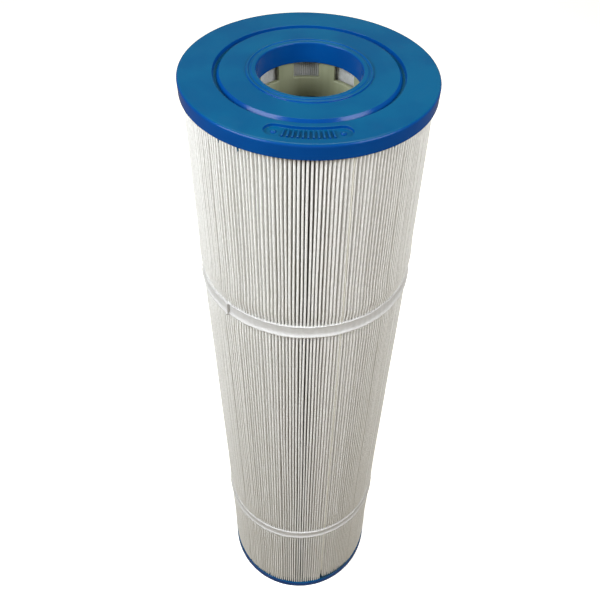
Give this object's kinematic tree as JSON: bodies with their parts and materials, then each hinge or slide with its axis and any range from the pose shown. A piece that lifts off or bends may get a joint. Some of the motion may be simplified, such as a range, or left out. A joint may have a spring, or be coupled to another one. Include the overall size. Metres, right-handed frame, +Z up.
{
  "type": "filter cartridge",
  "caption": "Tall pleated filter cartridge: white pleats round a slotted core, tied by tape bands, cast into blue ring end caps with an open bore.",
  "frame": {"origin": "centre of the foot, on the cartridge's axis, in the plane it stands on", "axes": "+Z up the axis from the foot to the top cap; -Y towards the name pocket in the top cap; +X to the right as seen from the front"},
  "size_m": [0.125, 0.125, 0.4908],
  "materials": {
    "cap_resin": "cast blue polyurethane, satin, slightly uneven",
    "core_plastic": "moulded cream plastic, satin",
    "media_fabric": "white spun polyester, matt, fine fibres",
    "seam_glue": "milky hot-melt glue, satin",
    "band_tape": "white woven polyester tape, slight sheen"
  },
  "bodies": {
    "root": {"top_end_cap": "cap_resin", "bottom_end_cap": "cap_resin", "core_section_1": "core_plastic", "core_section_2": "core_plastic", "core_section_3": "core_plastic", "core_section_4": "core_plastic", "pleated_media": "media_fabric", "media_seam_bead": "seam_glue", "upper_band": "band_tape", "lower_band": "band_tape"}
  },
  "joints": []
}
